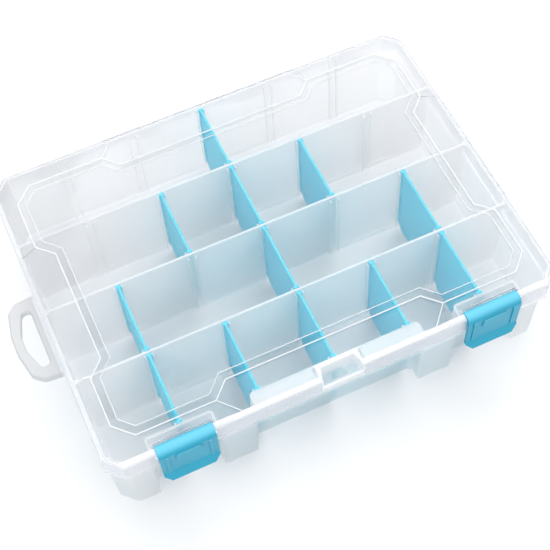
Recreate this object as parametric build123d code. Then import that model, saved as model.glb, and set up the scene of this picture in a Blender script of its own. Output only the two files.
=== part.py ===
"""Parts sorting tray: a flat compartment box with a hinged clear lid.

Frame: +X along the long side, the carrying handle on -X; the front with its
two latches is -Y; +Z up. The origin is the centre of the base's underside.
All sizes are in millimetres.
"""
from build123d import *
import os
from math import radians, tan

# ---- driving dimensions -------------------------------------------------
LID_HALF_X = 178.0      # half the lid's length
CORNER_CUT = 12.0       # 45 degree cut across each corner
SHELL = 1.7             # wall of the lid and base mouldings
DRAFT = 1.5             # mould draft in degrees
PLAY = 0.3              # gap between lid and base
RUNNING_FIT = 0.08      # radial play on every pin
OVERCUT = 1.0           # how far a cutting shape reaches past what it cuts

BASE_TOP = 79.0         # rim of the base
FLOOR = 2.0
WALL_TOP = BASE_TOP - 1.0       # row walls and dividers end just below the rim
LIP_TOP = BASE_TOP - 15.0       # lip round the base, under the lid's skirt
LIP_THICK = 2.4
LIP_LOW = LIP_TOP - LIP_THICK

SLOT_PITCH = 59.1       # divider slots along X
SLOTS = range(-2, 3)
ROWS = 4
ROW_PITCH = 62.0
ROW_WALL = 2.0
ROW_LENGTH = ROW_PITCH - ROW_WALL

BASE_HALF_X = LID_HALF_X - 2.1
BASE_BACK = 131.5
ROWS_BACK = BASE_BACK - SHELL
ROWS_FRONT = ROWS_BACK - (ROWS - 1) * ROW_PITCH - ROW_LENGTH
RECESS_FRONT = ROWS_FRONT - SHELL       # outer wall behind the recess and the latch bays
BASE_FRONT = RECESS_FRONT - 11.5        # outer wall of the pockets between them
LID_FRONT = BASE_FRONT - 2.4
LID_BACK = BASE_BACK + 1.9

PLATE_LOW = BASE_TOP + PLAY
PLATE_TOP = PLATE_LOW + 2.2
SKIRT_LOW = LIP_TOP + PLAY
PANEL_RISE = 0.8        # raised middle of the lid
PANEL_SLOPE = 6.0       # width of the slope round the raised middle
PANEL_HALF_X = 163.0
PANEL_FRONT = LID_FRONT + 19.5
PANEL_BACK = LID_BACK - 17.0
PANEL_CORNER = 13.5     # 45 degree cut across each corner of the panel
LAND_HALF_X = 77.0      # lands in the rim at the middle of the front and back
LAND_FRONT = -47.0      # lands in the rim at the middle of the short sides
LAND_BACK = 49.0
LAND_DEPTH = 12.0       # how far each land cuts into the panel
LAND_SINK = 0.6         # how far each land lies below the rim

LATCH_X = 120.0
BAY_HALF = 23.8         # half the width of a latch bay
BAY_LEDGE = BASE_TOP - 8.6      # ledge below the latch barrel
RECESS_HALF = 65.0      # half the width of the middle recess
NOTCH_HALF_X = BAY_HALF - 2.0   # half the lid's gap for a latch

LATCH_HALF = 21.5
BARREL_RADIUS = 5.7
BARREL_Y = BASE_FRONT
BARREL_Z = BASE_TOP - 2.2
LATCH_PIN = 1.7         # radius of the bar in the lid
LATCH_LOW = BASE_TOP - 36.0
LATCH_PLATE = 2.2
LATCH_CUT = 5.0         # cut across each lower corner of the plate

HINGE_Y = LID_BACK + 1.0
HINGE_Z = SKIRT_LOW
HINGE_PIN = 1.5
HINGE_BARREL = 2.5
HINGE_STATIONS = (-132.0, -44.0, 44.0, 132.0)
KNUCKLE_HALF = 5.0
CLIP_WIDTH = 4.5
CLIP_GAP = 0.4
CLIP_RADIUS = 3.0

DIVIDER_THICK = 1.6
DIVIDER_CUT = 6.5       # cut across each lower corner
BEAD_WIDTH = 4.0
BEAD_DEPTH = 2.2
DIVIDER_PLAY = 0.5      # gap at each end and over the floor
RIB_THICK = 1.3
RIB_DEPTH = 2.8
RIB_TOP = WALL_TOP - 2.0

TAB_HALF = 19.0         # half the width of the gap for the hang tab
TAB_TOP = LIP_TOP + 2.8
TAB_NOTCH_HALF = 13.0   # lid notch over the hang tab, at its back

HANDLE_HALF = 36.0
HANDLE_REACH = 204.5
HANDLE_TOP = LIP_LOW - 0.4
HANDLE_THICK = 7.0
HANDLE_BAR = 7.2
GRIP_HALF = 24.5        # half the opening in the handle

# slots that hold a divider, from the back row to the front row
DIVIDERS = ((0,), (-1, 0, 1), (-2, 0, 2), (-2, -1, 0, 1, 2))


# ---- shared helpers -----------------------------------------------------
def outline(points):
    """A closed flat face through the given points."""
    return make_face(Polyline(*points, close=True))


def left_and_right(right):
    """A closed outline from its right half."""
    return outline(right + [(-x, y) for x, y in reversed(right)])


def front_and_back(back):
    """A closed outline from its back half."""
    return outline(back + [(x, -y) for x, y in reversed(back)])


def prism(face, low, high):
    """The face's shape between two heights."""
    return extrude(Pos(0, 0, low) * face, amount=high - low)


def tub(face, low, high):
    """The face at the upper height, drawn in by the draft towards the lower one."""
    return extrude(Pos(0, 0, high) * face, amount=low - high, taper=DRAFT)


def block(x0, x1, y0, y1, z0, z1):
    """A plain box between two corners."""
    return Pos((x0 + x1) / 2, (y0 + y1) / 2, (z0 + z1) / 2) * Box(abs(x1 - x0), abs(y1 - y0), abs(z1 - z0))


def bar_along_x(x0, x1, y, z, radius):
    """A round bar parallel to X."""
    return Pos((x0 + x1) / 2, y, z) * Rot(0, 90, 0) * Cylinder(radius, x1 - x0)


def section_along_x(points, x0, x1):
    """A (y, z) outline swept from x0 to x1."""
    face = outline([(0, y, z) for y, z in points])
    return extrude(Pos(x0, 0, 0) * face, amount=x1 - x0, dir=(1, 0, 0))


def cut_corner_plan(half_x, front, back, cut):
    """A rectangle about the Z axis with its four corners cut off."""
    return left_and_right([(half_x - cut, front), (half_x, front + cut), (half_x, back - cut),
                           (half_x - cut, back)])


def draft_at(depth):
    """How far a drafted wall has moved in at a depth below its top."""
    return depth * tan(radians(DRAFT))


# ---- base tray ----------------------------------------------------------
def base_plan():
    """Outer wall of the base: pockets reach forward between the latch bays and the recess."""
    bay_in = LATCH_X - BAY_HALF
    bay_out = LATCH_X + BAY_HALF
    face = left_and_right([
        (RECESS_HALF, RECESS_FRONT), (RECESS_HALF, BASE_FRONT), (bay_in, BASE_FRONT),
        (bay_in, RECESS_FRONT), (bay_out, RECESS_FRONT), (bay_out, BASE_FRONT),
        (BASE_HALF_X - CORNER_CUT, BASE_FRONT), (BASE_HALF_X, BASE_FRONT + CORNER_CUT),
        (BASE_HALF_X, BASE_BACK - CORNER_CUT), (BASE_HALF_X - CORNER_CUT, BASE_BACK),
    ])
    return fillet(face.vertices(), 3.0)


def row_plan(row):
    """Inside of one row of compartments; the front row also fills the pockets."""
    back = ROWS_BACK - row * ROW_PITCH
    front = back - ROW_LENGTH
    half = BASE_HALF_X - SHELL
    cut = CORNER_CUT - 0.6 * SHELL
    if row == 0:
        right = [(half, front), (half, back - cut), (half - cut, back)]
    elif row < ROWS - 1:
        right = [(half, front), (half, back)]
    else:
        pocket_front = BASE_FRONT + SHELL
        pocket_in = RECESS_HALF + SHELL
        pocket_out = LATCH_X - BAY_HALF - SHELL
        corner_in = LATCH_X + BAY_HALF + SHELL
        right = [
            (pocket_in, front), (pocket_in, pocket_front), (pocket_out, pocket_front), (pocket_out, front),
            (corner_in, front), (corner_in, pocket_front), (half - cut, pocket_front),
            (half, pocket_front + cut), (half, back),
        ]
    face = left_and_right(right)
    return fillet(face.vertices(), 3.2)


def row_cavity(row):
    """The space of one row, with a rounded floor edge."""
    cavity = tub(row_plan(row), FLOOR, WALL_TOP)
    return fillet(cavity.edges().group_by(Axis.Z)[0], 2.5)


def slot_rib(x, y_wall, side):
    """One upright rib on a row wall; side is -1 on a back wall and 1 on a front wall."""
    sunk = 0.5
    root = y_wall - side * 2 * sunk
    tip = y_wall + side * RIB_DEPTH
    lean = side * draft_at(RIB_TOP - FLOOR)
    points = [(root, RIB_TOP), (tip, RIB_TOP), (tip + lean, FLOOR - sunk), (root + lean, FLOOR - sunk)]
    return section_along_x(points, x - RIB_THICK / 2, x + RIB_THICK / 2)


def slot_ribs():
    """A pair of ribs at each end of every divider slot."""
    offset = BEAD_WIDTH / 2 + 0.4 + RIB_THICK / 2
    ribs = []
    for row in range(ROWS):
        back = ROWS_BACK - row * ROW_PITCH
        for slot in SLOTS:
            for x in (slot * SLOT_PITCH - offset, slot * SLOT_PITCH + offset):
                ribs.append(slot_rib(x, back, -1))
                ribs.append(slot_rib(x, back - ROW_LENGTH, 1))
    return ribs


def under_ledges():
    """Open spaces below the ledges of the recess and the latch bays, and above the bays."""
    front = BASE_FRONT + SHELL
    low = LIP_LOW - OVERCUT
    spaces = [block(-RECESS_HALF, RECESS_HALF, front, RECESS_FRONT, low, BASE_TOP - SHELL)]
    for x in (-LATCH_X, LATCH_X):
        left, right = x - BAY_HALF, x + BAY_HALF
        spaces.append(block(left, right, front, RECESS_FRONT, low, BAY_LEDGE - SHELL))
        spaces.append(block(left, right, LID_FRONT, RECESS_FRONT, BAY_LEDGE, BASE_TOP + OVERCUT))
    return spaces


def hang_tab():
    """Tab with a hole at the middle of the front, where the tray hangs from a hook."""
    low = TAB_TOP - LIP_THICK
    tab = block(-TAB_HALF, TAB_HALF, BASE_FRONT, RECESS_FRONT + 0.5, low, TAB_TOP)
    hole = left_and_right([(4.5, RECESS_FRONT - 2.5), (7.0, RECESS_FRONT - 8.9)])
    hole = fillet(hole.vertices(), 1.5)
    return tab - prism(hole, low - OVERCUT, TAB_TOP + OVERCUT)


def handle():
    """Flat D-shaped carrying loop on the left side."""
    low = HANDLE_TOP - HANDLE_THICK
    outer = front_and_back([
        (-BASE_HALF_X + OVERCUT, HANDLE_HALF), (-HANDLE_REACH + 11.5, HANDLE_HALF - 1.5),
        (-HANDLE_REACH + 4.0, HANDLE_HALF - 8.0), (-HANDLE_REACH, 7.5),
    ])
    inner = front_and_back([
        (-HANDLE_REACH + 20.0, GRIP_HALF), (-HANDLE_REACH + HANDLE_BAR + 5.8, GRIP_HALF - 0.5),
        (-HANDLE_REACH + HANDLE_BAR, 6.0),
    ])
    loop = prism(outer, low, HANDLE_TOP)
    free = -BASE_HALF_X - 4.0
    corners = loop.edges().filter_by(Axis.Z).filter_by(lambda edge: edge.center().X < free)
    loop = fillet(corners, 4.0)
    loop -= prism(fillet(inner.vertices(), 3.0), low - OVERCUT, HANDLE_TOP + OVERCUT)
    rims = loop.edges().filter_by(lambda edge: edge.center().X < free)
    rims = rims.filter_by(lambda edge: abs(edge.center().Y) < HANDLE_HALF - 1)
    middle = (low + HANDLE_TOP) / 2
    rims = rims.filter_by(lambda edge: abs(edge.center().Z - middle) > HANDLE_THICK / 2 - 0.5)
    return fillet(rims, 1.5)


def hinge_clips():
    """Pairs of lugs behind the base that hold the lid's hinge pins."""
    clips = []
    for station in HINGE_STATIONS:
        for side in (-1, 1):
            x = station + side * (KNUCKLE_HALF + CLIP_GAP + CLIP_WIDTH / 2)
            low, high = x - CLIP_WIDTH / 2, x + CLIP_WIDTH / 2
            lug = block(low, high, BASE_BACK - OVERCUT, HINGE_Y, HINGE_Z - CLIP_RADIUS, HINGE_Z + CLIP_RADIUS)
            clips.append(lug + bar_along_x(low, high, HINGE_Y, HINGE_Z, CLIP_RADIUS))
    return clips


def base_outside():
    """The base before its compartments: drafted body, straight rim and lip."""
    body = tub(base_plan(), 0, BASE_TOP)
    body = fillet(body.edges().group_by(Axis.Z)[0], 2.5)
    rim = prism(cut_corner_plan(BASE_HALF_X, BASE_FRONT, BASE_BACK, CORNER_CUT), LIP_LOW, BASE_TOP)
    lip_front = LID_FRONT - 0.5
    lip = prism(cut_corner_plan(LID_HALF_X + 0.5, lip_front, BASE_BACK, CORNER_CUT), LIP_LOW, LIP_TOP)
    for x in (-LATCH_X, LATCH_X):
        lip -= block(x - BAY_HALF, x + BAY_HALF, lip_front - OVERCUT, LID_FRONT,
                     LIP_LOW - OVERCUT, LIP_TOP + OVERCUT)
    return body + rim + lip


def make_base():
    """Frosted lower tray: rows, pockets, rim, lip, hang tab, handle and hinge lugs."""
    base = base_outside()
    above_walls = cut_corner_plan(BASE_HALF_X - SHELL, RECESS_FRONT + SHELL, ROWS_BACK, CORNER_CUT - 1.0)
    base -= prism(above_walls, WALL_TOP, BASE_TOP + OVERCUT)
    base -= prism(row_plan(ROWS - 1), WALL_TOP - OVERCUT / 2, BASE_TOP + OVERCUT)
    for row in range(ROWS):
        base -= row_cavity(row)
    for space in under_ledges():
        base -= space
    base -= block(-TAB_HALF, TAB_HALF, BASE_FRONT - OVERCUT, RECESS_FRONT, TAB_TOP, BASE_TOP + OVERCUT)
    base += hang_tab()
    base += slot_ribs()
    base += handle()
    base += hinge_clips()
    reach = KNUCKLE_HALF + CLIP_GAP + CLIP_WIDTH + OVERCUT
    for station in HINGE_STATIONS:
        base -= bar_along_x(station - reach, station + reach, HINGE_Y, HINGE_Z, HINGE_PIN + RUNNING_FIT)
    return base


# ---- lid ----------------------------------------------------------------
def panel_plan(inset):
    """Zigzag outline of the lid's raised middle, drawn in by the inset."""
    shift = inset * tan(radians(22.5))      # a 45 degree corner slides along its side by this much
    side_x = PANEL_HALF_X - inset
    waist_x = side_x - LAND_DEPTH
    land_in = LAND_HALF_X + shift
    land_out = land_in + LAND_DEPTH
    corner_x = PANEL_HALF_X - PANEL_CORNER - shift
    front = PANEL_FRONT + inset
    back = PANEL_BACK - inset
    waist_front = LAND_FRONT - shift
    waist_back = LAND_BACK + shift
    return left_and_right([
        (land_in, front + LAND_DEPTH), (land_out, front), (corner_x, front),
        (side_x, PANEL_FRONT + PANEL_CORNER + shift), (side_x, waist_front - LAND_DEPTH),
        (waist_x, waist_front), (waist_x, waist_back), (side_x, waist_back + LAND_DEPTH),
        (side_x, PANEL_BACK - PANEL_CORNER - shift), (corner_x, back), (land_out, back),
        (land_in, back - LAND_DEPTH),
    ])


def panel_step(low):
    """The raised middle as a solid with sloping sides, standing on a height."""
    foot = Pos(0, 0, low) * panel_plan(0)
    top = Pos(0, 0, low + PANEL_RISE) * panel_plan(PANEL_SLOPE)
    return loft([foot, top], ruled=True)


def rim_lands():
    """Shallow lands in the lid's rim at the middle of each side."""
    land_out = LAND_HALF_X + LAND_DEPTH
    mouth = LAND_HALF_X + 5.0
    past = 2.0
    front = left_and_right([(LAND_HALF_X, PANEL_FRONT + LAND_DEPTH), (land_out, PANEL_FRONT),
                            (mouth, LID_FRONT - past)])
    back = left_and_right([(LAND_HALF_X, PANEL_BACK - LAND_DEPTH), (land_out, PANEL_BACK),
                           (mouth, LID_BACK + past)])
    right = outline([(PANEL_HALF_X - LAND_DEPTH, LAND_FRONT), (PANEL_HALF_X, LAND_FRONT - LAND_DEPTH),
                     (LID_HALF_X + past, LAND_FRONT - 5.0), (LID_HALF_X + past, LAND_BACK + 5.0),
                     (PANEL_HALF_X, LAND_BACK + LAND_DEPTH), (PANEL_HALF_X - LAND_DEPTH, LAND_BACK)])
    faces = (front, back, right, mirror(right, Plane.YZ))
    return [prism(face, PLATE_TOP - LAND_SINK, PLATE_TOP + OVERCUT) for face in faces]


def lid_shell():
    """Flat top with a skirt all round; the outer top edge is rounded."""
    shell = prism(cut_corner_plan(LID_HALF_X, LID_FRONT, LID_BACK, CORNER_CUT), SKIRT_LOW, PLATE_TOP)
    shell = fillet(shell.edges().group_by(Axis.Z)[-1], 3.2)
    inner = cut_corner_plan(LID_HALF_X - SHELL, LID_FRONT + SHELL, LID_BACK - 1.5, CORNER_CUT - 0.6)
    return shell - prism(inner, SKIRT_LOW - OVERCUT, PLATE_LOW)


def latch_mount(x):
    """Cheeks and the round bar that one latch turns on."""
    cheek = 1.6
    piece = bar_along_x(x - NOTCH_HALF_X - 1, x + NOTCH_HALF_X + 1, BARREL_Y, BARREL_Z, LATCH_PIN)
    for side in (-1, 1):
        near = x + side * NOTCH_HALF_X
        piece += block(near, near + side * cheek, LID_FRONT + 0.2, BARREL_Y + 5.1,
                       BAY_LEDGE + 0.5, PLATE_LOW + 1)
    return piece


def latch_notch(x):
    """Gap in the lid for one latch barrel."""
    return block(x - NOTCH_HALF_X, x + NOTCH_HALF_X, LID_FRONT - OVERCUT, BARREL_Y + BARREL_RADIUS + 0.5,
                 BAY_LEDGE + 0.2, PLATE_TOP + 2)


def tab_notch_plan(front, wall=0.0):
    """Plan of the gap over the hang tab as far as a front line, or of the walls round it."""
    back = RECESS_FRONT - SHELL - 0.8 + wall
    half = TAB_NOTCH_HALF + wall
    return left_and_right([(half, back), (half + 3.0, front)])


def hinge_knuckles():
    """Barrels with pins below the lid's back skirt."""
    pieces = []
    outer = HINGE_Y + HINGE_BARREL
    section = [(LID_BACK - 1.5, PLATE_LOW), (LID_BACK, PLATE_LOW), (outer, HINGE_Z + 4.0), (outer, HINGE_Z),
               (HINGE_Y - HINGE_BARREL, HINGE_Z)]
    reach = KNUCKLE_HALF + CLIP_GAP + CLIP_WIDTH
    for station in HINGE_STATIONS:
        low, high = station - KNUCKLE_HALF, station + KNUCKLE_HALF
        knuckle = bar_along_x(low, high, HINGE_Y, HINGE_Z, HINGE_BARREL) + section_along_x(section, low, high)
        pieces.append(knuckle + bar_along_x(station - reach, station + reach, HINGE_Y, HINGE_Z, HINGE_PIN))
    return pieces


def make_lid():
    """Clear lid with its raised panel, notches, latch bars and hinge pins."""
    lid = lid_shell()
    for land in rim_lands():
        lid -= land
    lid += panel_step(PLATE_TOP - 0.01)
    lid -= panel_step(PLATE_LOW - 0.01)
    lid += prism(tab_notch_plan(LID_FRONT + 0.5, wall=1.4), TAB_TOP + 1.2, PLATE_LOW + 1)
    lid -= prism(tab_notch_plan(LID_FRONT + SHELL), TAB_TOP, PLATE_TOP + OVERCUT)
    lid -= prism(tab_notch_plan(LID_FRONT - OVERCUT), TAB_TOP + 4.0, PLATE_TOP + OVERCUT)
    straight = LID_HALF_X - CORNER_CUT
    lid -= block(-straight, straight, BASE_BACK, LID_BACK + OVERCUT, SKIRT_LOW - OVERCUT, HINGE_Z + 5.5)
    for x in (-LATCH_X, LATCH_X):
        lid -= latch_notch(x)
        lid += latch_mount(x)
    lid += hinge_knuckles()
    return lid


# ---- latch --------------------------------------------------------------
def make_latch(x):
    """Snap latch: a barrel over the lid's bar, a ribbed plate and a flared finger lip."""
    left, right = x - LATCH_HALF, x + LATCH_HALF
    back = LID_FRONT - 1.1
    front = back - LATCH_PLATE
    latch = section_along_x(
        [(BARREL_Y, BARREL_Z), (back, BARREL_Z), (back, LATCH_LOW + 6), (back - 3.4, LATCH_LOW),
         (back - 5.8, LATCH_LOW), (front, LATCH_LOW + 7), (front, BARREL_Z)], left, right)
    latch += bar_along_x(left, right, BARREL_Y, BARREL_Z, BARREL_RADIUS)
    lip_front = back - 7.0
    for side in (-1, 1):
        edge = x + side * (LATCH_HALF + OVERCUT)
        tip = x + side * (LATCH_HALF - LATCH_CUT)
        corner = outline([(edge, 0, LATCH_LOW + LATCH_CUT + OVERCUT), (edge, 0, LATCH_LOW - OVERCUT),
                          (tip - side * OVERCUT, 0, LATCH_LOW - OVERCUT)])
        latch -= extrude(Pos(0, lip_front, 0) * corner, amount=back + OVERCUT - lip_front, dir=(0, 1, 0))
    rib_proud = 0.9
    for side in (-1, 1):
        inner = x + side * (LATCH_HALF - 6.5)
        latch += block(inner, inner + side * 2.5, front - rib_proud, front + 0.5, LATCH_LOW + 9, BARREL_Z)
    boss = Pos(x, front + 0.5, BARREL_Z - 6.0) * Rot(90, 0, 0) * RectangleRounded(20, 10, 2.5)
    latch += extrude(boss, amount=1.5, dir=(0, -1, 0))
    hook_tip = LID_FRONT - 0.35
    latch += section_along_x(
        [(back - 0.2, LIP_LOW - 0.6), (hook_tip, LIP_LOW - 0.9), (hook_tip, LIP_LOW - 2.2),
         (back - 0.2, LIP_LOW - 4.5)], left + 6, right - 6)
    latch -= bar_along_x(left - OVERCUT, right + OVERCUT, BARREL_Y, BARREL_Z, LATCH_PIN + RUNNING_FIT)
    return latch


# ---- dividers -----------------------------------------------------------
def make_divider(row, slot):
    """Thin tapered plate with a bead down each end and cut lower corners."""
    x = slot * SLOT_PITCH
    back = ROWS_BACK - row * ROW_PITCH - DIVIDER_PLAY
    front = back - ROW_LENGTH + 2 * DIVIDER_PLAY
    low = FLOOR + DIVIDER_PLAY
    lean = draft_at(WALL_TOP - low)
    divider = section_along_x(
        [(back, WALL_TOP), (back - lean, low + DIVIDER_CUT), (back - lean - DIVIDER_CUT, low),
         (front + lean + DIVIDER_CUT, low), (front + lean, low + DIVIDER_CUT), (front, WALL_TOP)],
        x - DIVIDER_THICK / 2, x + DIVIDER_THICK / 2)
    bead_low = low + DIVIDER_CUT + 1.5
    for y, side in ((back, -1), (front, 1)):
        divider += section_along_x(
            [(y, WALL_TOP), (y + side * BEAD_DEPTH, WALL_TOP),
             (y + side * (BEAD_DEPTH + lean), bead_low), (y + side * lean, bead_low)],
            x - BEAD_WIDTH / 2, x + BEAD_WIDTH / 2)
    return divider


def divider_name(row, slot):
    """Name of the divider in a row (1 at the back) and slot (1 at the left)."""
    return f"divider_row{row + 1}_slot{slot + 3}"


# ---- write every piece --------------------------------------------------
def main():
    os.makedirs("parts", exist_ok=True)
    pieces = {
        "base_tray": make_base(),
        "lid": make_lid(),
        "latch_left": make_latch(-LATCH_X),
        "latch_right": make_latch(LATCH_X),
    }
    for row, slots in enumerate(DIVIDERS):
        for slot in slots:
            pieces[divider_name(row, slot)] = make_divider(row, slot)
    for name, piece in pieces.items():
        export_step(piece, f"parts/{name}.step")


main()
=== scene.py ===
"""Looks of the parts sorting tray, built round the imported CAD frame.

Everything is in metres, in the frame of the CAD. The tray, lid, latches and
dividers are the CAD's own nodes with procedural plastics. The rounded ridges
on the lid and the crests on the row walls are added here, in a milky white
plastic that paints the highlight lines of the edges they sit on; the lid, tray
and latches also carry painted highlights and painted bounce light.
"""
import math

import bpy
from mathutils import Matrix, Vector


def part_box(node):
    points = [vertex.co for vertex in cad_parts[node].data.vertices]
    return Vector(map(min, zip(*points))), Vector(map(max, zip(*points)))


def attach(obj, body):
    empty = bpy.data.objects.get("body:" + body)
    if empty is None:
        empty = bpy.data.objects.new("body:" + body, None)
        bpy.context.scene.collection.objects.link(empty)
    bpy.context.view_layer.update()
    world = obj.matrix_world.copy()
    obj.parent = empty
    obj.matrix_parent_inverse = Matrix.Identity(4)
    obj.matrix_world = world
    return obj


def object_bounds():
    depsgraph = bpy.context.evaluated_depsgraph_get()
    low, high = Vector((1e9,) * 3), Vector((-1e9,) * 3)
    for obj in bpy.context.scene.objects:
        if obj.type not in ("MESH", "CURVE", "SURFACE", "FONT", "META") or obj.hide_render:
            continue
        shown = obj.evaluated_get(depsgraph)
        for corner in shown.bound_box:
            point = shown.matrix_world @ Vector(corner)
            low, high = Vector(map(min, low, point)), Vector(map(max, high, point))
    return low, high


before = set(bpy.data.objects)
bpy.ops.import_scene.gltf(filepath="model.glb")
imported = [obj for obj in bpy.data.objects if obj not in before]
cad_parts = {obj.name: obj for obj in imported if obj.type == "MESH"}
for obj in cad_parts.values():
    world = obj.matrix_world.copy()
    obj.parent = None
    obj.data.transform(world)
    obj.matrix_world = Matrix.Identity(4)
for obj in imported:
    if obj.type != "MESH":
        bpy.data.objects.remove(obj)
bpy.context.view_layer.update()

MM = 0.001

# ---- camera and lights --------------------------------------------------
CAMERA_AIM = Vector((-6.0, -27.0, 60.0)) * MM
CAMERA_DISTANCE = 0.905
CAMERA_AZIMUTH = math.radians(-21.5)
CAMERA_ELEVATION = math.radians(60.0)
CAMERA_ROLL = math.radians(3.6)
CAMERA_LENS = 78.4
CAMERA_SENSOR = 36.0
CAMERA_CLIP = 0.01

WORLD_STRENGTH = 1.1
HORIZON_TINT = (0.37, 0.37, 0.395)
HORIZON_END = 0.05              # Z of a direction where the grey of the horizon ends
ZENITH_TINT = (1.0, 1.0, 1.0)
ZENITH_START = 0.6              # and where the full white overhead starts
KEY_PLACE = (0.7, 0.9, 1.7)
KEY_AIM = (0, 0, 0)
KEY_SIZE = 1.6
KEY_POWER = 22.0
KEY_TINT = (1, 1, 1)
FILL_PLACE = (-0.9, -0.8, 1.1)
FILL_AIM = (0, 0, 0.05)
FILL_SIZE = 0.9
FILL_POWER = 5.0
FILL_TINT = (0.97, 0.98, 1.0)
FLOOR_HALF = 3.0
FLOOR_TINT = (0.80, 0.80, 0.805)

# ---- plastics -----------------------------------------------------------
LID_TINT = (0.97, 0.968, 0.975)
# painted highlight: white of the lid's rounded edges and up-facing faces
RIM_AND_PAINTED_HIGHLIGHT_TINT = (0.98, 0.98, 0.985)
# painted reflection: lavender grey of the lid's upright skirt
SKIRT_PAINTED_REFLECTION_TINT = (0.90, 0.89, 0.945)
# painted highlight: the milky white of the ridges and crests
HIGHLIGHT_LINE_TINT = (0.93, 0.93, 0.94)
BASE_TINT = (0.92, 0.94, 0.95)
MILK_TINT = (0.93, 0.925, 0.925)
# painted bounce light: cyan cast from the dividers on the middle of the tray
DIVIDER_BOUNCE_TINT = (0.76, 0.925, 0.955)
HANDLE_TINT = (0.74, 0.74, 0.745)
AQUA_SHEET = (0.03, 0.72, 0.87)
AQUA_SHEET_PALE = (0.06, 0.80, 0.93)
AQUA_LATCH = (0.006, 0.33, 0.49)
AQUA_LATCH_PALE = (0.012, 0.37, 0.54)
# painted highlight: the paler aqua of the latch's up-facing faces
AQUA_ROLL_HIGHLIGHT = (0.13, 0.52, 0.70)

# what lamps and bounced light keep when they cross one surface
LIGHT_PAST_LID = (0.965, 0.966, 0.97)
LIGHT_PAST_RIDGE = (0.97, 0.97, 0.98)
LIGHT_PAST_BASE = (0.90, 0.905, 0.91)

LID_IOR = 1.42
BASE_IOR = 1.3
NOISE_LOW = 0.3                 # a noise texture is mostly between these two values
NOISE_HIGH = 0.7

# (slope, value) stops, where slope is 0 on upright faces and 1 on flat ones
# lid milkiness by slope: real milkiness on upright faces, a painted white highlight on rounded edges
LID_MILK_AND_HIGHLIGHT = ((0.0, 0.4), (0.12, 0.4), (0.3, 0.85), (0.9, 0.8), (0.97, 0.02))
# painted highlight: the rounded band along the front edge turns milky white
LID_RIM_HIGHLIGHT = ((0.0, 0.0), (0.3, 0.0), (0.5, 0.95))
# painted highlight: up-facing faces take the white rim colour, upright faces the painted lavender
# reflection
LID_PAINTED_HIGHLIGHT_STOPS = ((0.0, 0.0), (0.25, 0.0), (0.5, 1.0))
# tray milkiness by slope: real milkiness on walls and floor, a painted highlight on the fillets
BASE_MILK_AND_HIGHLIGHT = ((0.0, 0.5), (0.15, 0.5), (0.3, 0.9), (0.9, 0.85), (0.98, 0.16))
# painted highlight on the latch by slope
LATCH_HIGHLIGHT_STOPS = ((0.4, 0.0), (0.95, 1.0))
BOUNCE_RISE = ((0.0, 0.0), (0.6, 1.0))      # (nearness to the middle, value) stops of the painted bounce light

TAB_MILK = 0.8                  # least milkiness of the walls round the hang tab
TOP_MILK = 0.6                  # least milkiness of the tray near its rim

# ---- the lid, as the CAD has it -----------------------------------------
PANEL_RISE = 0.8 * MM
PANEL_SLOPE = 6.0 * MM
PANEL_HALF_X = 163.0 * MM
PANEL_FRONT_MARGIN = 19.5 * MM
PANEL_BACK_MARGIN = 20.5 * MM
PANEL_CORNER = 13.5 * MM        # 45 degree cut across each corner of the panel
LAND_HALF_X = 77.0 * MM         # lands at the middle of the front and back
LAND_FRONT = -47.0 * MM         # lands at the middle of the short sides
LAND_BACK = 49.0 * MM
LAND_DEPTH = 12.0 * MM
RIM_HIGHLIGHT_BACK = -126.6 * MM     # back of the painted highlight band along the lid's rounded front edge
RIM_HIGHLIGHT_BLEND = 0.2 * MM
TAB_REACH_X = 17.0 * MM         # half the width of the whiter walls round the hang tab
TAB_BLEND_X = 0.5 * MM
TAB_REACH_Y = -116.5 * MM
TAB_BLEND_Y = 1.0 * MM

# ---- the tray, as the CAD has it ----------------------------------------
HANDLE_START = -178.5 * MM
HANDLE_BLEND = 2.0 * MM
TOP_START = 70.0 * MM
TOP_END = 76.0 * MM
MIDDLE_X = 15.0 * MM            # middle of the painted cyan bounce light from the dividers on the tray
MIDDLE_Y = -25.0 * MM
MIDDLE_REACH = 150.0 * MM
WALL_TOP = 78.0 * MM
FIRST_WALL_Y = 68.8 * MM        # wall between the back row and the next
ROW_PITCH = 62.0 * MM
INNER_WALLS = 3
WALL_HALF_X = 171.0 * MM

# ---- added ridges -------------------------------------------------------
RIDGE_STEPS = 6                 # flats across the round of a ridge
OUTER_RIDGE_INSET = 0.2 * MM
OUTER_RIDGE_WIDTH = 1.1 * MM
OUTER_RIDGE_RISE = 0.55 * MM
OUTER_RIDGE_SINK = 0.1 * MM
INNER_RIDGE_INSET = PANEL_SLOPE + 0.4 * MM
INNER_RIDGE_WIDTH = 0.7 * MM
INNER_RIDGE_RISE = 0.43 * MM
INNER_RIDGE_SINK = 0.45 * MM
LAND_RIDGE_WIDTH = 0.8 * MM
LAND_RIDGE_RISE = 0.5 * MM
LAND_RIDGE_SINK = 0.35 * MM
LAND_RIDGE_SPREAD = 1.0 * MM    # how far a land ridge's outer end is from the land's corner in X
LAND_RIDGE_MARGIN = 5.0 * MM    # how far a front land ridge stops short of the rim
CREST_WIDTH = 1.1 * MM
CREST_RISE = 0.45 * MM
CREST_SINK = 0.1 * MM


# ---- node helpers -------------------------------------------------------
def new_material(name):
    """An empty node material and its output node."""
    material = bpy.data.materials.new(name)
    material.use_nodes = True
    material.node_tree.nodes.clear()
    output = material.node_tree.nodes.new("ShaderNodeOutputMaterial")
    return material, output


def feed(material, place, value):
    """Sets an input to a number or a colour, or links it to another node's output."""
    if isinstance(value, bpy.types.NodeSocket):
        material.node_tree.links.new(value, place)
    elif isinstance(value, tuple):
        place.default_value = (*value, 1)
    else:
        place.default_value = value


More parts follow.
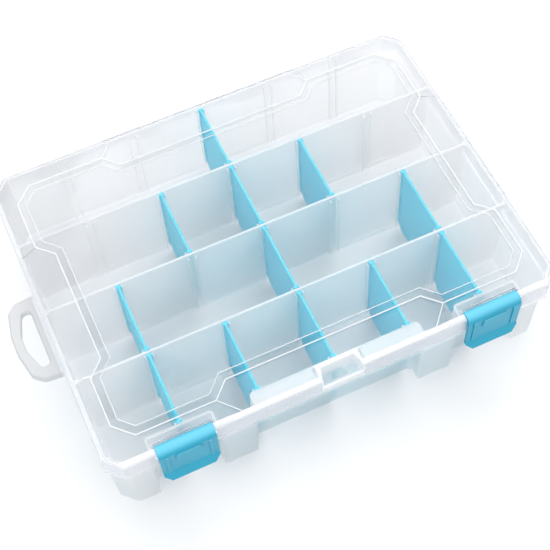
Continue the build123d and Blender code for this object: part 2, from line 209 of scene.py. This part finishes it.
def add_node(material, kind, **inputs):
    """A node with some of its inputs fed."""
    made = material.node_tree.nodes.new(kind)
    for name, value in inputs.items():
        feed(material, made.inputs[name.replace("_", " ")], value)
    return made


def noise(material, scale, detail=2.0, stretch=(1, 1, 1)):
    """A noise texture in object space, scale in waves per metre."""
    place = add_node(material, "ShaderNodeTexCoord")
    mapping = add_node(material, "ShaderNodeMapping", Vector=place.outputs["Object"])
    mapping.inputs["Scale"].default_value = stretch
    made = add_node(material, "ShaderNodeTexNoise", Vector=mapping.outputs["Vector"],
                    Scale=scale, Detail=detail)
    return made.outputs["Fac"]


def spread(material, source, low, high):
    """A noise value spread between two values."""
    made = add_node(material, "ShaderNodeMapRange", Value=source, From_Min=NOISE_LOW,
                    From_Max=NOISE_HIGH, To_Min=low, To_Max=high)
    return made.outputs["Result"]


def passed(material, source, start, end):
    """A value that climbs from 0 to 1 as a distance goes from start to end."""
    made = add_node(material, "ShaderNodeMapRange", Value=source, From_Min=start, From_Max=end)
    return made.outputs["Result"]


def steps(material, source, stops):
    """A value that follows straight lines between (position, value) stops."""
    ramp = add_node(material, "ShaderNodeValToRGB", Fac=source)
    keys = ramp.color_ramp.elements
    while len(keys) < len(stops):
        keys.new(0.5)
    for key, (position, value) in zip(keys, stops):
        key.position = position
        key.color = (value, value, value, 1)
    return ramp.outputs["Color"]


def combine(material, operation, first, second):
    """One of Blender's math operations on two values or outputs, held between 0 and 1."""
    made = add_node(material, "ShaderNodeMath")
    made.operation = operation
    made.use_clamp = True
    feed(material, made.inputs[0], first)
    feed(material, made.inputs[1], second)
    return made.outputs["Value"]


def bump(material, source, distance, strength, flat=False):
    """A bump from a 0 to 1 value, its height in metres; flat keeps each face's own plane under it."""
    made = add_node(material, "ShaderNodeBump", Height=source, Strength=strength, Distance=distance)
    if flat:
        face = add_node(material, "ShaderNodeNewGeometry")
        feed(material, made.inputs["Normal"], face.outputs["True Normal"])
    return made.outputs["Normal"]


def tint(material, source, first, second):
    """A colour between two colours or colour outputs, by a 0 to 1 value."""
    made = material.node_tree.nodes.new("ShaderNodeMix")
    made.data_type = "RGBA"
    places = [place for place in made.inputs if place.type == "RGBA"]
    feed(material, places[0], first)
    feed(material, places[1], second)
    feed(material, made.inputs["Factor"], source)
    return [place for place in made.outputs if place.type == "RGBA"][0]


def slope(material):
    """How far a face points up or down, 0 on upright walls and 1 on flat ones, in object space."""
    face = add_node(material, "ShaderNodeNewGeometry")
    local = add_node(material, "ShaderNodeVectorTransform", Vector=face.outputs["True Normal"])
    local.vector_type = "NORMAL"
    local.convert_from = "WORLD"
    local.convert_to = "OBJECT"
    split = add_node(material, "ShaderNodeSeparateXYZ", Vector=local.outputs["Vector"])
    size = add_node(material, "ShaderNodeMath", Value=split.outputs["Z"])
    size.operation = "ABSOLUTE"
    return size.outputs["Value"]


def along(material, axis):
    """Distance from the origin along one axis in metres, in object space."""
    place = add_node(material, "ShaderNodeTexCoord")
    split = add_node(material, "ShaderNodeSeparateXYZ", Vector=place.outputs["Object"])
    return split.outputs[axis]


def near_middle(material):
    """A value that climbs from 0 near the rim to 1 at the middle of the tray, in plan."""
    place = add_node(material, "ShaderNodeTexCoord")
    mapping = add_node(material, "ShaderNodeMapping", Vector=place.outputs["Object"])
    mapping.inputs["Location"].default_value = (-MIDDLE_X / MIDDLE_REACH, -MIDDLE_Y / MIDDLE_REACH, 0)
    mapping.inputs["Scale"].default_value = (1 / MIDDLE_REACH, 1 / MIDDLE_REACH, 0)
    ball = add_node(material, "ShaderNodeTexGradient", Vector=mapping.outputs["Vector"])
    ball.gradient_type = "SPHERICAL"
    return steps(material, ball.outputs["Fac"], BOUNCE_RISE)


# ---- shader helpers -----------------------------------------------------
def blend(material, share, first, second):
    """Two shaders mixed; share is the part of the second, a number or an output."""
    mix = add_node(material, "ShaderNodeMixShader", Fac=share)
    feed(material, mix.inputs[1], first)
    feed(material, mix.inputs[2], second)
    return mix.outputs["Shader"]


def glassy(material, colour, ior, roughness):
    """A clear plastic body."""
    return add_node(material, "ShaderNodeBsdfPrincipled", Base_Color=colour, IOR=ior,
                    Roughness=roughness, Transmission_Weight=1.0)


def milky(material, colour, roughness, glow_share):
    """A pale plastic body that is lit from both sides: its shader, and the node of its outer skin."""
    skin = add_node(material, "ShaderNodeBsdfPrincipled", Base_Color=colour, Roughness=roughness)
    glow = add_node(material, "ShaderNodeBsdfTranslucent", Color=colour)
    return blend(material, glow_share, skin.outputs["BSDF"], glow.outputs["BSDF"]), skin


def let_light_through(material, shader, output, colour):
    """Shows the shader, and lets lamps and bounced light pass straight through it."""
    rays = add_node(material, "ShaderNodeLightPath")
    straight = combine(material, "MAXIMUM", rays.outputs["Is Shadow Ray"], rays.outputs["Is Diffuse Ray"])
    clear = add_node(material, "ShaderNodeBsdfTransparent", Color=colour)
    feed(material, output.inputs["Surface"], blend(material, straight, shader, clear.outputs["BSDF"]))


# ---- materials ----------------------------------------------------------
def at_hang_tab(material):
    """1 on the lid's walls round the hang tab and 0 elsewhere."""
    across = along(material, "X")
    from_left = passed(material, across, -TAB_REACH_X, -TAB_REACH_X + TAB_BLEND_X)
    from_right = passed(material, across, TAB_REACH_X, TAB_REACH_X - TAB_BLEND_X)
    beside = combine(material, "MINIMUM", from_left, from_right)
    before = passed(material, along(material, "Y"), TAB_REACH_Y, TAB_REACH_Y - TAB_BLEND_Y)
    return combine(material, "MULTIPLY", beside, before)


def clear_lid():
    """Clear glossy plastic with a faint ripple; milky plastic paints a white highlight on its rounded
    edges and front band and a lavender-grey reflection on its upright skirt.
    """
    material, output = new_material("clear_plastic_painted_highlights")
    gloss = spread(material, noise(material, scale=180.0), low=0.02, high=0.08)
    glass = glassy(material, LID_TINT, LID_IOR, gloss)
    waves = noise(material, scale=45.0, detail=1.5)
    ripple = bump(material, waves, distance=0.3 * MM, strength=0.2, flat=True)
    feed(material, glass.inputs["Normal"], ripple)
    facing_up = slope(material)
    at_tab = at_hang_tab(material)
    # painted highlight and reflection: up-facing faces white, upright faces lavender grey; the walls
    # round the hang tab are whiter too
    whiter = combine(material, "MAXIMUM", at_tab, steps(material, facing_up, LID_PAINTED_HIGHLIGHT_STOPS))
    colour = tint(material, whiter, SKIRT_PAINTED_REFLECTION_TINT, RIM_AND_PAINTED_HIGHLIGHT_TINT)
    body = milky(material, colour, roughness=0.15, glow_share=0.4)[0]
    # painted highlight: the rounded band along the front edge turns milky white
    front_highlight_band = passed(material, along(material, "Y"), RIM_HIGHLIGHT_BACK, RIM_HIGHLIGHT_BACK - RIM_HIGHLIGHT_BLEND)
    rim = combine(material, "MULTIPLY", front_highlight_band, steps(material, facing_up, LID_RIM_HIGHLIGHT))
    edges = combine(material, "MAXIMUM", steps(material, facing_up, LID_MILK_AND_HIGHLIGHT), rim)
    share = combine(material, "MAXIMUM", edges, combine(material, "MULTIPLY", at_tab, TAB_MILK))
    shader = blend(material, share, glass.outputs["BSDF"], body)
    let_light_through(material, shader, output, LIGHT_PAST_LID)
    return material


def ridge_painted_highlight():
    """Milky white glossy plastic of the narrow ridges and crests: a painted highlight along the edges
    they sit on.
    """
    material, output = new_material("ridge_painted_highlight")
    body, skin = milky(material, HIGHLIGHT_LINE_TINT, roughness=0.12, glow_share=0.3)
    gloss = spread(material, noise(material, scale=250.0), low=0.08, high=0.2)
    feed(material, skin.inputs["Roughness"], gloss)
    glass = glassy(material, LID_TINT, LID_IOR, roughness=0.05)
    share = spread(material, noise(material, scale=60.0), low=0.6, high=0.95)
    shader = blend(material, share, glass.outputs["BSDF"], body)
    let_light_through(material, shader, output, LIGHT_PAST_RIDGE)
    return material


def frosted_base():
    """Milky translucent polypropylene: upright walls cloudy, the thin floor clearer, the fillets milkier
    as a painted highlight, and a painted cyan bounce light from the dividers towards the middle.
    """
    material, output = new_material("frosted_plastic_painted_light")
    glass = glassy(material, BASE_TINT, BASE_IOR, roughness=0.3)
    # painted bounce light: cyan tint from the dividers towards the middle of the tray
    inner = tint(material, near_middle(material), MILK_TINT, DIVIDER_BOUNCE_TINT)
    on_handle = passed(material, along(material, "X"), HANDLE_START, HANDLE_START - HANDLE_BLEND)
    colour = tint(material, on_handle, inner, HANDLE_TINT)
    body, skin = milky(material, colour, roughness=0.4, glow_share=0.5)
    grain = bump(material, noise(material, scale=900.0, detail=3.0), distance=0.1 * MM, strength=0.2)
    feed(material, glass.inputs["Normal"], grain)
    feed(material, skin.inputs["Normal"], grain)
    # painted highlight: the fillets between walls and floor are milkier
    walls = steps(material, slope(material), BASE_MILK_AND_HIGHLIGHT)
    near_rim = passed(material, along(material, "Z"), TOP_START, TOP_END)
    tops = combine(material, "MULTIPLY", near_rim, TOP_MILK)
    cloud = spread(material, noise(material, scale=28.0, detail=3.0), low=0.85, high=1.1)
    clouded = combine(material, "MULTIPLY", combine(material, "MAXIMUM", walls, tops), cloud)
    share = combine(material, "MAXIMUM", clouded, on_handle)
    shader = blend(material, share, glass.outputs["BSDF"], body)
    let_light_through(material, shader, output, LIGHT_PAST_BASE)
    return material


def aqua_sheet():
    """Satin aqua polypropylene that glows when light comes through it."""
    material, output = new_material("aqua_sheet")
    streaks = noise(material, scale=35.0, stretch=(1, 1, 0.3))
    colour = tint(material, streaks, AQUA_SHEET, AQUA_SHEET_PALE)
    body, skin = milky(material, colour, roughness=0.45, glow_share=0.45)
    skin.inputs["Specular IOR Level"].default_value = 0.25
    grain = bump(material, noise(material, scale=1200.0, detail=3.0), distance=0.05 * MM, strength=0.3)
    feed(material, skin.inputs["Normal"], grain)
    feed(material, output.inputs["Surface"], body)
    return material


def aqua_latch():
    """Semi-gloss aqua plastic, a little darker than the dividers, with a painted highlight: paler where
    it faces up.
    """
    material, output = new_material("aqua_gloss_painted_highlight")
    plate = tint(material, noise(material, scale=60.0), AQUA_LATCH, AQUA_LATCH_PALE)
    # painted highlight: faces that point up turn paler
    colour = tint(material, steps(material, slope(material), LATCH_HIGHLIGHT_STOPS), plate, AQUA_ROLL_HIGHLIGHT)
    gloss = spread(material, noise(material, scale=40.0), low=0.28, high=0.36)
    skin = add_node(material, "ShaderNodeBsdfPrincipled", Base_Color=colour, Roughness=gloss,
                    Specular_IOR_Level=0.3, Coat_Weight=0.1, Coat_Roughness=0.12)
    feed(material, output.inputs["Surface"], skin.outputs["BSDF"])
    return material


def dress(node, material):
    """Gives every material slot of a CAD node one material."""
    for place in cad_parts[node].material_slots:
        place.material = material


# ---- ridges and crests --------------------------------------------------
def make_piece(name, vertices, faces, material, body):
    """A mesh object that rides on a CAD body."""
    mesh = bpy.data.meshes.new(name)
    mesh.from_pydata(vertices, [], faces)
    mesh.update()
    mesh.materials.append(material)
    piece = bpy.data.objects.new(name, mesh)
    bpy.context.scene.collection.objects.link(piece)
    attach(piece, body)


def panel_outline(inset):
    """Corners of the lid's raised middle, drawn in by an amount."""
    low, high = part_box("lid")
    shift = inset * math.tan(math.radians(22.5))    # how far a 45 degree corner slides along its side
    panel_front = low.y + PANEL_FRONT_MARGIN
    panel_back = high.y - PANEL_BACK_MARGIN
    front = panel_front + inset
    back = panel_back - inset
    side = PANEL_HALF_X - inset
    waist = side - LAND_DEPTH
    land_in = LAND_HALF_X + shift
    land_out = land_in + LAND_DEPTH
    corner = PANEL_HALF_X - PANEL_CORNER - shift
    waist_front = LAND_FRONT - shift
    waist_back = LAND_BACK + shift
    right = [
        (land_in, front + LAND_DEPTH), (land_out, front), (corner, front),
        (side, panel_front + PANEL_CORNER + shift), (side, waist_front - LAND_DEPTH),
        (waist, waist_front), (waist, waist_back), (side, waist_back + LAND_DEPTH),
        (side, panel_back - PANEL_CORNER - shift), (corner, back), (land_out, back),
        (land_in, back - LAND_DEPTH),
    ]
    return right + [(-x, y) for x, y in reversed(right)]


def panel_ridge(inset, width, foot, rise):
    """Vertices and faces of a rounded ridge that follows the panel's outline."""
    loops = []
    for turn in range(RIDGE_STEPS + 1):
        angle = math.pi * turn / RIDGE_STEPS
        across = inset - 0.5 * width * math.cos(angle)
        loops.append([(x, y, foot + rise * math.sin(angle)) for x, y in panel_outline(across)])
    vertices = [point for loop in loops for point in loop]
    count = len(loops[0])
    last = RIDGE_STEPS * count
    pairs = [(n, (n + 1) % count) for n in range(count)]
    faces = []
    for row in range(0, last, count):
        faces += [(row + n, row + m, row + count + m, row + count + n) for n, m in pairs]
    faces += [(last + n, last + m, m, n) for n, m in pairs]
    return vertices, faces


def straight_ridge(start, end, width, foot, rise):
    """Vertices and faces of a rounded ridge between two points in plan."""
    start = Vector(start)
    end = Vector(end)
    side = (end - start).normalized().orthogonal() * 0.5 * width
    vertices = []
    for place in (start, end):
        for turn in range(RIDGE_STEPS + 1):
            angle = math.pi * turn / RIDGE_STEPS
            spot = place + side * math.cos(angle)
            vertices.append((spot.x, spot.y, foot + rise * math.sin(angle)))
    count = RIDGE_STEPS + 1
    faces = [(n, n + 1, count + n + 1, count + n) for n in range(RIDGE_STEPS)]
    faces.append((RIDGE_STEPS, 0, count, count + RIDGE_STEPS))
    faces.append(tuple(reversed(range(count))))
    faces.append(tuple(range(count, 2 * count)))
    return vertices, faces


def make_panel_ridges(material):
    """Two ridges round the raised middle: one at its foot and one at its upper edge, painted highlight
    lines of those edges.
    """
    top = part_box("lid")[1].z
    foot = top - PANEL_RISE
    vertices, faces = panel_ridge(OUTER_RIDGE_INSET, OUTER_RIDGE_WIDTH,
                                  foot - OUTER_RIDGE_SINK, OUTER_RIDGE_RISE)
    make_piece("panel_ridge_outer", vertices, faces, material, "lid")
    vertices, faces = panel_ridge(INNER_RIDGE_INSET, INNER_RIDGE_WIDTH,
                                  top - INNER_RIDGE_SINK, INNER_RIDGE_RISE)
    make_piece("panel_ridge_inner", vertices, faces, material, "lid")


def make_land_ridges(material):
    """Short ridges along the slanting ends of the lands in the lid's rim, painted highlight lines of
    those ends.
    """
    low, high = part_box("lid")
    foot = high.z - PANEL_RISE - LAND_RIDGE_SINK
    front = low.y + PANEL_FRONT_MARGIN
    back = high.y - PANEL_BACK_MARGIN
    ends = []
    for side in (-1, 1):
        jog = side * (LAND_HALF_X + LAND_DEPTH)
        front_end = side * (LAND_HALF_X - LAND_RIDGE_SPREAD)
        back_end = side * (LAND_HALF_X + LAND_RIDGE_SPREAD)
        ends.append(((jog, front), (front_end, low.y + LAND_RIDGE_MARGIN)))
        ends.append(((jog, back), (back_end, back + LAND_DEPTH)))
    for number, (start, end) in enumerate(ends, 1):
        vertices, faces = straight_ridge(start, end, LAND_RIDGE_WIDTH, foot, LAND_RIDGE_RISE)
        make_piece(f"land_ridge_{number}", vertices, faces, material, "lid")


def make_wall_crests(material):
    """A thin rounded crest along the top of each wall between two rows, a painted highlight line on the
    wall's top.
    """
    for wall in range(INNER_WALLS):
        y = FIRST_WALL_Y - wall * ROW_PITCH
        vertices, faces = straight_ridge((-WALL_HALF_X, y), (WALL_HALF_X, y), CREST_WIDTH,
                                         WALL_TOP - CREST_SINK, CREST_RISE)
        make_piece(f"row_wall_crest_{wall + 1}", vertices, faces, material, "base_tray")


# ---- stage --------------------------------------------------------------
def make_floor():
    """A pale floor just under the feet."""
    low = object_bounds()[0]
    corners = [(x * FLOOR_HALF, y * FLOOR_HALF, low[2]) for x, y in ((-1, -1), (1, -1), (1, 1), (-1, 1))]
    mesh = bpy.data.meshes.new("floor")
    mesh.from_pydata(corners, [], [(0, 1, 2, 3)])
    floor = bpy.data.objects.new("floor", mesh)
    bpy.context.scene.collection.objects.link(floor)
    material, output = new_material("floor")
    skin = add_node(material, "ShaderNodeBsdfPrincipled", Base_Color=FLOOR_TINT, Roughness=0.9,
                    Specular_IOR_Level=0.1)
    feed(material, output.inputs["Surface"], skin.outputs["BSDF"])
    mesh.materials.append(material)


def add_lamp(name, place, aim, size, power, colour):
    """A square area light that faces a point and leaves no mirror image on the flat lid."""
    data = bpy.data.lights.new(name, "AREA")
    data.size = size
    data.energy = power
    data.color = colour
    lamp = bpy.data.objects.new(name, data)
    lamp.location = place
    lamp.rotation_euler = (Vector(aim) - Vector(place)).to_track_quat("-Z", "Y").to_euler()
    lamp.visible_glossy = False
    bpy.context.scene.collection.objects.link(lamp)


def make_surroundings():
    """Surroundings that are white overhead and grey towards the horizon."""
    world = bpy.data.worlds.new("studio")
    world.use_nodes = True
    nodes = world.node_tree.nodes
    links = world.node_tree.links
    place = nodes.new("ShaderNodeTexCoord")
    split = nodes.new("ShaderNodeSeparateXYZ")
    ramp = nodes.new("ShaderNodeValToRGB")
    horizon, zenith = ramp.color_ramp.elements
    horizon.position = HORIZON_END
    horizon.color = (*HORIZON_TINT, 1)
    zenith.position = ZENITH_START
    zenith.color = (*ZENITH_TINT, 1)
    links.new(place.outputs["Generated"], split.inputs["Vector"])
    links.new(split.outputs["Z"], ramp.inputs["Fac"])
    links.new(ramp.outputs["Color"], nodes["Background"].inputs["Color"])
    nodes["Background"].inputs["Strength"].default_value = WORLD_STRENGTH
    bpy.context.scene.world = world


def make_lights():
    """The surroundings, a soft lamp above the back right and a fill at the front left."""
    make_surroundings()
    add_lamp("key", KEY_PLACE, KEY_AIM, KEY_SIZE, KEY_POWER, KEY_TINT)
    add_lamp("fill", FILL_PLACE, FILL_AIM, FILL_SIZE, FILL_POWER, FILL_TINT)


def make_camera():
    """The camera, rolled a little about its own line of sight."""
    flat = math.cos(CAMERA_ELEVATION)
    back = Vector((math.sin(CAMERA_AZIMUTH) * flat, -math.cos(CAMERA_AZIMUTH) * flat,
                   math.sin(CAMERA_ELEVATION)))
    level = Vector((math.cos(CAMERA_AZIMUTH), math.sin(CAMERA_AZIMUTH), 0))
    lift = back.cross(level)
    right = level * math.cos(CAMERA_ROLL) - lift * math.sin(CAMERA_ROLL)
    up = back.cross(right)
    data = bpy.data.cameras.new("camera")
    data.lens = CAMERA_LENS
    data.sensor_width = CAMERA_SENSOR
    data.clip_start = CAMERA_CLIP
    camera = bpy.data.objects.new("camera", data)
    turn = Matrix((right, up, back)).transposed().to_4x4()
    camera.matrix_world = Matrix.Translation(CAMERA_AIM + back * CAMERA_DISTANCE) @ turn
    bpy.context.scene.collection.objects.link(camera)
    bpy.context.scene.camera = camera


def set_paths():
    """Enough bounces for light to cross many clear walls."""
    cycles = bpy.context.scene.cycles
    cycles.max_bounces = 28
    cycles.transmission_bounces = 28
    cycles.transparent_max_bounces = 32
    cycles.glossy_bounces = 6
    cycles.diffuse_bounces = 4
    cycles.sample_clamp_indirect = 4.0
    bpy.context.scene.view_settings.view_transform = "Standard"


# ---- build --------------------------------------------------------------
make_camera()
make_lights()
make_floor()
set_paths()

dress("lid", clear_lid())
dress("base_tray", frosted_base())
sheet_material = aqua_sheet()
latch_material = aqua_latch()
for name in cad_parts:
    if name.startswith("divider"):
        dress(name, sheet_material)
    elif name.startswith("latch"):
        dress(name, latch_material)
# milky white ridges and crests that paint highlight lines
highlight_line_material = ridge_painted_highlight()
make_panel_ridges(highlight_line_material)
make_land_ridges(highlight_line_material)
make_wall_crests(highlight_line_material)
